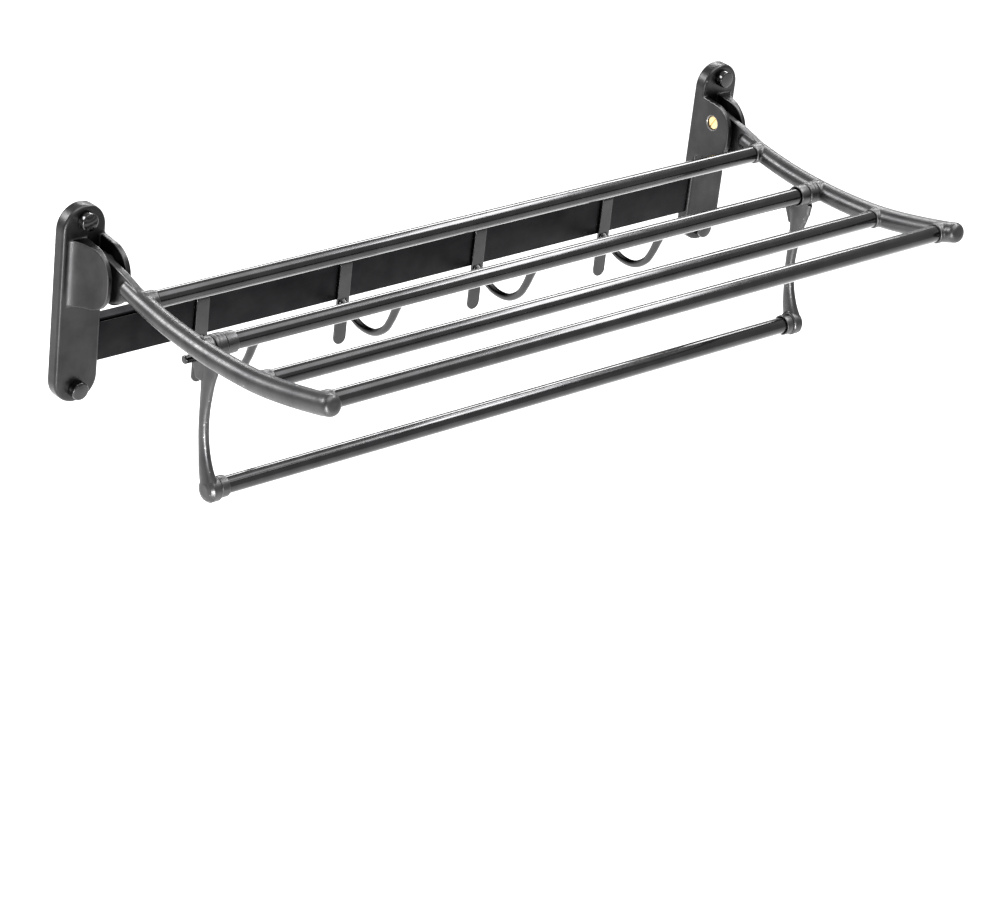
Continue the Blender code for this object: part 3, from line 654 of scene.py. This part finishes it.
def fine_arm(word, side):
    node = f"arm_{word}"
    x = side * ARM_X
    path = arm_line(10)
    last = len(path) - 1
    sizes = []
    for i in range(len(path)):
        radius = ARM_R_ROOT + (ARM_R_TIP - ARM_R_ROOT) * min(1.0, 1.6 * i / last)
        sizes.append((radius, radius))
    tang = new_object("tang", prism(tang_outline(), "X", x - TANG_HALF, x + TANG_HALF))
    bore = TANG_HALF + PAST
    hole = [(-bore, 0.0), (-bore, PIVOT_R + GAP), (bore, PIVOT_R + GAP), (bore, 0.0)]
    boolean(tang, turned(hole, (x, *PIVOT), (1, 0, 0)), "DIFFERENCE")
    curve = swept(path, x, sizes, 64, dome_start=True, dome_end=True, end_power=ARM_END_POWER)
    solids = [new_object("curve", curve), tang]
    for index, axis in enumerate(bar_axes):
        face = bar_ends[index] + GAP
        end = abs(x) - BOSS_SINK
        radius = BOSS_R[index]
        profile = [(face, 0.0), (face, radius - SOFT_EDGE), (face + SOFT_EDGE, radius),
                   (face + BOSS_EDGE, radius), (end, radius), (end, 0.0)]
        solids.append(new_object("boss", turned(profile, (0.0, *axis), (side, 0, 0))))
    arm = cast(node, solids, CASTING_VOXEL, 5)
    stand_for(arm, node, satin)


# ---------------------------------------------------------------- towel bar
def blade(x):
    stations = [(-0.1255, 0.0120, 0.0082), (-0.1222, 0.0040, 0.0104), (-0.1220, -0.0035, 0.0084),
                (-0.1216, -0.0125, 0.0061), (-0.1207, -0.0300, 0.0042), (-0.1211, -0.0450, 0.0039),
                (-0.1233, -0.0590, 0.0046), (-0.1265, -0.0710, 0.0062), (-0.1310, -0.0810, 0.0078)]
    steps = 8
    line = curve_through([Vector(s) for s in stations], steps)
    path = [Vector((p.x, p.y)) for p in line]
    sizes = []
    for p in line:
        swell = max(0.0, min(1.0, (SWELL_FROM - p.y) / SWELL_HEIGHT))
        sizes.append((BLADE_HALF + BLADE_SWELL * swell ** 2, p.z))
    return swept(path, x, sizes, 48)


def fine_hanger(word, side):
    node = f"hanger_{word}"
    hub_out = bar_ends[1]
    hub_in = abs(middle(f"bar_collar_{word}").x) + extent(f"bar_collar_{word}").x / 2 + GAP
    ferrule = abs(middle(f"towel_bar_ferrule_{word}").x) + extent(f"towel_bar_ferrule_{word}").x / 2 + GAP
    x = (hub_in + hub_out) / 2 - GAP
    pin = middle(f"stop_pin_{word}")
    boss_out = ferrule + LOWER_BOSS_LENGTH
    hub = [(hub_in, 0.0), (hub_in, HUB_R - GROOVE), (hub_in + GROOVE, HUB_R)]
    for start in HUB_GROOVES:
        at = hub_in + start
        hub += [(at, HUB_R), (at + GROOVE / 2, HUB_R - GROOVE), (at + GROOVE, HUB_R)]
    hub += [(hub_out - GROOVE, HUB_R), (hub_out, HUB_R - GROOVE), (hub_out, 0.0)]
    boss = [(ferrule, 0.0), (ferrule, LOWER_BOSS_R - 0.0010), (ferrule + 0.0010, LOWER_BOSS_R),
            (boss_out - 0.0030, LOWER_BOSS_R), (boss_out - 0.0008, LOWER_BOSS_R - 0.0018),
            (boss_out, LOWER_BOSS_R - 0.0045), (boss_out, 0.0)]
    lug = arc((pin.y, pin.z), LUG_R, -25, 120, 20)
    lug += [(-0.1200, 0.0060), (-0.1195, -0.0108), (-0.1127, -0.0108)]
    shapes = [blade(side * x), turned(hub, (0.0, *bar_axes[1]), (side, 0, 0)),
              turned(boss, (0.0, *lower_axis), (side, 0, 0)),
              prism(lug, "X", *span(side, x, x + BLADE_HALF))]
    hanger = cast(node, [new_object("solid", shape) for shape in shapes], HANGER_VOXEL, 4)
    cuts = [(BAR_R + GAP, bar_axes[1], hub_in - PAST, hub_out + PAST),
            (BAR_R + GAP, lower_axis, ferrule - PAST, SOCKET_END),
            (STOP_PIN_STEM_R + GAP, Vector(pin[1:]), x + GAP, x + BLADE_HALF + PAST)]
    for radius, axis, start, end in cuts:
        rod = [(start, 0.0), (start, radius), (end, radius), (end, 0.0)]
        boolean(hanger, turned(rod, (0.0, *axis), (side, 0, 0)), "DIFFERENCE")
    hanger.data.shade_smooth()
    hanger.data.set_sharp_from_angle(angle=math.radians(50))
    stand_for(hanger, node, satin)


def fine_stop_pin(word, side):
    node = f"stop_pin_{word}"
    low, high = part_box(node)
    near = min(abs(low.x), abs(high.x))
    tip = max(abs(low.x), abs(high.x))
    shoulder = near + BLADE_HALF - GAP
    radius = extent(node).z / 2
    profile = eased([(near, 0.0), (near, STOP_PIN_STEM_R), (shoulder, STOP_PIN_STEM_R), (shoulder, radius),
                     (tip - 0.0005, radius), (tip, radius - 0.0006), (tip, 0.0)], 0.0003, False)
    pin = new_object(node + "_new", turned(profile, (0.0, *middle(node)[1:]), (side, 0, 0)))
    stand_for(pin, node, gloss)


# ---------------------------------------------------------------- hook rail and hooks
def fine_rail():
    """The rail: a sloping top, a groove behind a front lip, open to the wall."""
    node = "hook_rail"
    low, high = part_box(node)
    back = -0.0006
    slope = (-0.0049, -0.0158)
    floor = -0.0195
    lip_back = -0.0062
    lip_top = -0.0172
    inside = -0.0031
    wall = RAIL_WALL
    outline = [(back, high.z), slope, (slope[0], floor), (lip_back, floor), (lip_back, lip_top),
               (low.y, lip_top), (low.y, low.z), (back, low.z), (back, low.z + wall),
               (low.y + wall, low.z + wall), (low.y + wall, floor - wall), (inside, floor - wall),
               (inside, slope[1] - 0.0005), (back, high.z - wall)]
    rail = new_object(node + "_new", prism(eased(outline, 0.0005, True), "X", low.x, high.x))
    stand_for(rail, node, rail_black)


def fine_hook(node):
    """A bent strip on the rail's face, with a tab in its groove and a round prong."""
    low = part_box(node)[0]
    x = middle(node).x
    half = extent(node).x / 2
    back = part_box("hook_rail")[0].y - GAP
    front = back - STRIP_THICK
    strip = [(back, -0.0168), (-0.0059, -0.0168), (-0.0059, -0.0190), (-0.0052, -0.0190), (-0.0052, -0.0163),
             (-0.0060, -0.0154), (-0.0076, -0.0154), (-0.0086, -0.0166), (front, -0.0186),
             (front, low.z), (back, low.z)]
    body = new_object("strip", prism(strip, "X", x - half, x + half))
    face = arc((x, low.z + half), half, 180, 360, 32) + [(x + half, 0.0), (x - half, 0.0)]
    boolean(body, prism(face, "Y", -0.03, 0.01), "INTERSECT")
    points = [(-0.0082, -0.0470), (-0.0180, -0.0520), (-0.0310, -0.0562), (-0.0440, -0.0550),
              (-0.0545, -0.0480), (-0.0600, -0.0390), (-0.0640, -0.0290), (-0.0668, -0.0220)]
    path = curve_through([Vector(p) for p in points], 10)
    last = len(path) - 1
    sizes = []
    for i in range(last + 1):
        share = i / last
        root = PRONG_ROOT_SWELL * max(0.0, 1 - share * 8)
        tip = PRONG_TIP_SWELL * max(0.0, (share - 0.7) / 0.3)
        radius = PRONG_R + root + tip
        sizes.append((radius, radius))
    prong = new_object("prong", swept(path, x, sizes, 40, dome_end=True))
    hook = cast(node, [body, prong], HOOK_VOXEL, 3)
    stand_for(hook, node, gloss)


# ---------------------------------------------------------------- camera and light
def make_camera():
    back = Vector((math.sin(VIEW_AZIMUTH) * math.cos(VIEW_ELEVATION),
                   -math.cos(VIEW_AZIMUTH) * math.cos(VIEW_ELEVATION),
                   math.sin(VIEW_ELEVATION)))
    right = (-back).cross(Vector((0.0, 0.0, 1.0))).normalized()
    up = right.cross(-back)
    cam_x = right * math.cos(VIEW_ROLL) + up * math.sin(VIEW_ROLL)
    cam_y = up * math.cos(VIEW_ROLL) - right * math.sin(VIEW_ROLL)
    camera = bpy.data.objects.new("camera", bpy.data.cameras.new("camera"))
    camera.data.lens = LENS
    camera.data.sensor_width = 36.0
    turn = Matrix((cam_x, cam_y, back)).transposed().to_4x4()
    camera.matrix_world = Matrix.Translation(VIEW_TARGET + back * VIEW_DISTANCE) @ turn
    bpy.context.scene.collection.objects.link(camera)
    bpy.context.scene.camera = camera


def area_light(name, place, size, power):
    data = bpy.data.lights.new(name, "AREA")
    data.shape = "RECTANGLE"
    data.size, data.size_y = size
    data.energy = power
    light = bpy.data.objects.new(name, data)
    light.location = place
    light.rotation_euler = (Vector(LIGHT_AIM) - Vector(place)).to_track_quat("-Z", "Y").to_euler()
    bpy.context.scene.collection.objects.link(light)


def soft_sun(name, direction, strength, degrees):
    data = bpy.data.lights.new(name, "SUN")
    data.energy = strength
    data.angle = math.radians(degrees)
    light = bpy.data.objects.new(name, data)
    light.rotation_euler = Vector(direction).to_track_quat("Z", "Y").to_euler()
    bpy.context.scene.collection.objects.link(light)


def make_stage():
    mesh = bpy.data.meshes.new("floor")
    size = FLOOR_HALF
    mesh.from_pydata([(-size, -size, FLOOR_Z), (size, -size, FLOOR_Z), (size, size, FLOOR_Z),
                      (-size, size, FLOOR_Z)], [], [(0, 1, 2, 3)])
    floor = bpy.data.objects.new("floor", mesh)
    bpy.context.scene.collection.objects.link(floor)
    mesh.materials.append(new_material("pale_floor", (0.93, 0.93, 0.93), 0.9, 0.0))
    world = bpy.data.worlds.new("studio")
    world.use_nodes = True
    sky = world.node_tree.nodes["Background"]
    sky.inputs["Color"].default_value = (1.0, 1.0, 1.0, 1.0)
    sky.inputs["Strength"].default_value = WORLD_STRENGTH
    bpy.context.scene.world = world


# ---------------------------------------------------------------- the whole picture
make_camera()
make_stage()
for word, side in SIDES:
    fine_bracket(word, side)
    fine_arm(word, side)
    fine_hanger(word, side)
    fine_pivot(word, side)
    fine_stop_pin(word, side)
    fine_ring(f"bar_collar_{word}", BAR_R + GAP, satin)
    fine_ring(f"towel_bar_ferrule_{word}", BAR_R + GAP, satin)
    fine_ring(f"pivot_washer_{word}_inner", PIVOT_R + GAP, nylon)
    fine_ring(f"pivot_washer_{word}_outer", PIVOT_R + GAP, nylon)
    for level in ("lower", "upper"):
        fine_cap(f"screw_cap_{word}_{level}")
for tube in ("shelf_bar_1", "shelf_bar_2", "shelf_bar_3", "shelf_bar_4", "towel_bar"):
    fine_ring(tube, BAR_R - BAR_WALL, gloss)
fine_rail()
for number in (1, 2, 3, 4):
    fine_hook(f"hook_{number}")
for name, node in frame["nodes"].items():
    node.data.materials.clear()
    node.data.materials.append(FINISHES[slot_of(name)])

for name, place, size, power in SOFTBOXES:
    area_light(name, place, size, power)
soft_sun("overhead", (0.15, -0.25, 1.0), 2.4, 60)
bpy.context.scene.view_settings.view_transform = "Standard"
